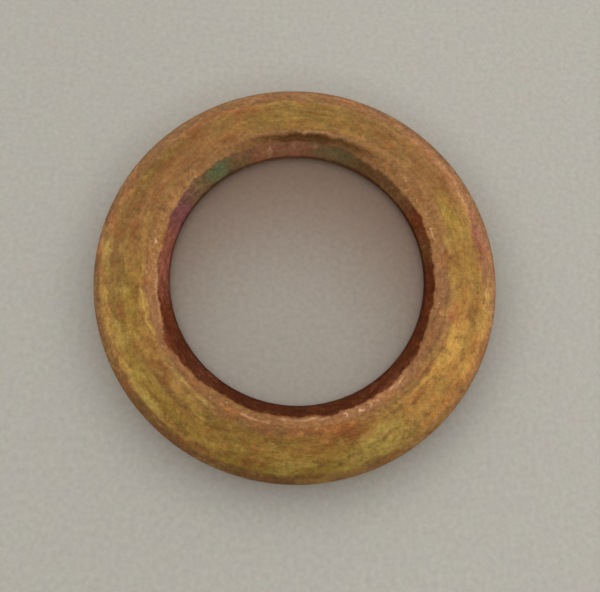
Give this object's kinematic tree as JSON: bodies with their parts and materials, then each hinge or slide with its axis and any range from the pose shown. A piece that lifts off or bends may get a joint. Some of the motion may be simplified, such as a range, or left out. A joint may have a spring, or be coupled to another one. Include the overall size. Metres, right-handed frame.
{
  "type": "flat washer",
  "caption": "Narrow-rimmed round flat washer with a bevelled bore and chamfered outer edge, yellow passivated steel, for an M12 bolt.",
  "frame": {"origin": "centre of the bore, on the flat lower face", "axes": "+Z along the bore axis, out of the upper face, the one with the bevelled bore; X and Y are equal because the ring is round"},
  "size_m": [0.02, 0.02, 0.0015],
  "materials": {
    "yellow_passivated_steel": "yellow chromate passivated zinc plate over steel: mottled gold, olive and copper tones, satin"
  },
  "bodies": {
    "root": {"washer_ring": "yellow_passivated_steel"}
  },
  "joints": []
}
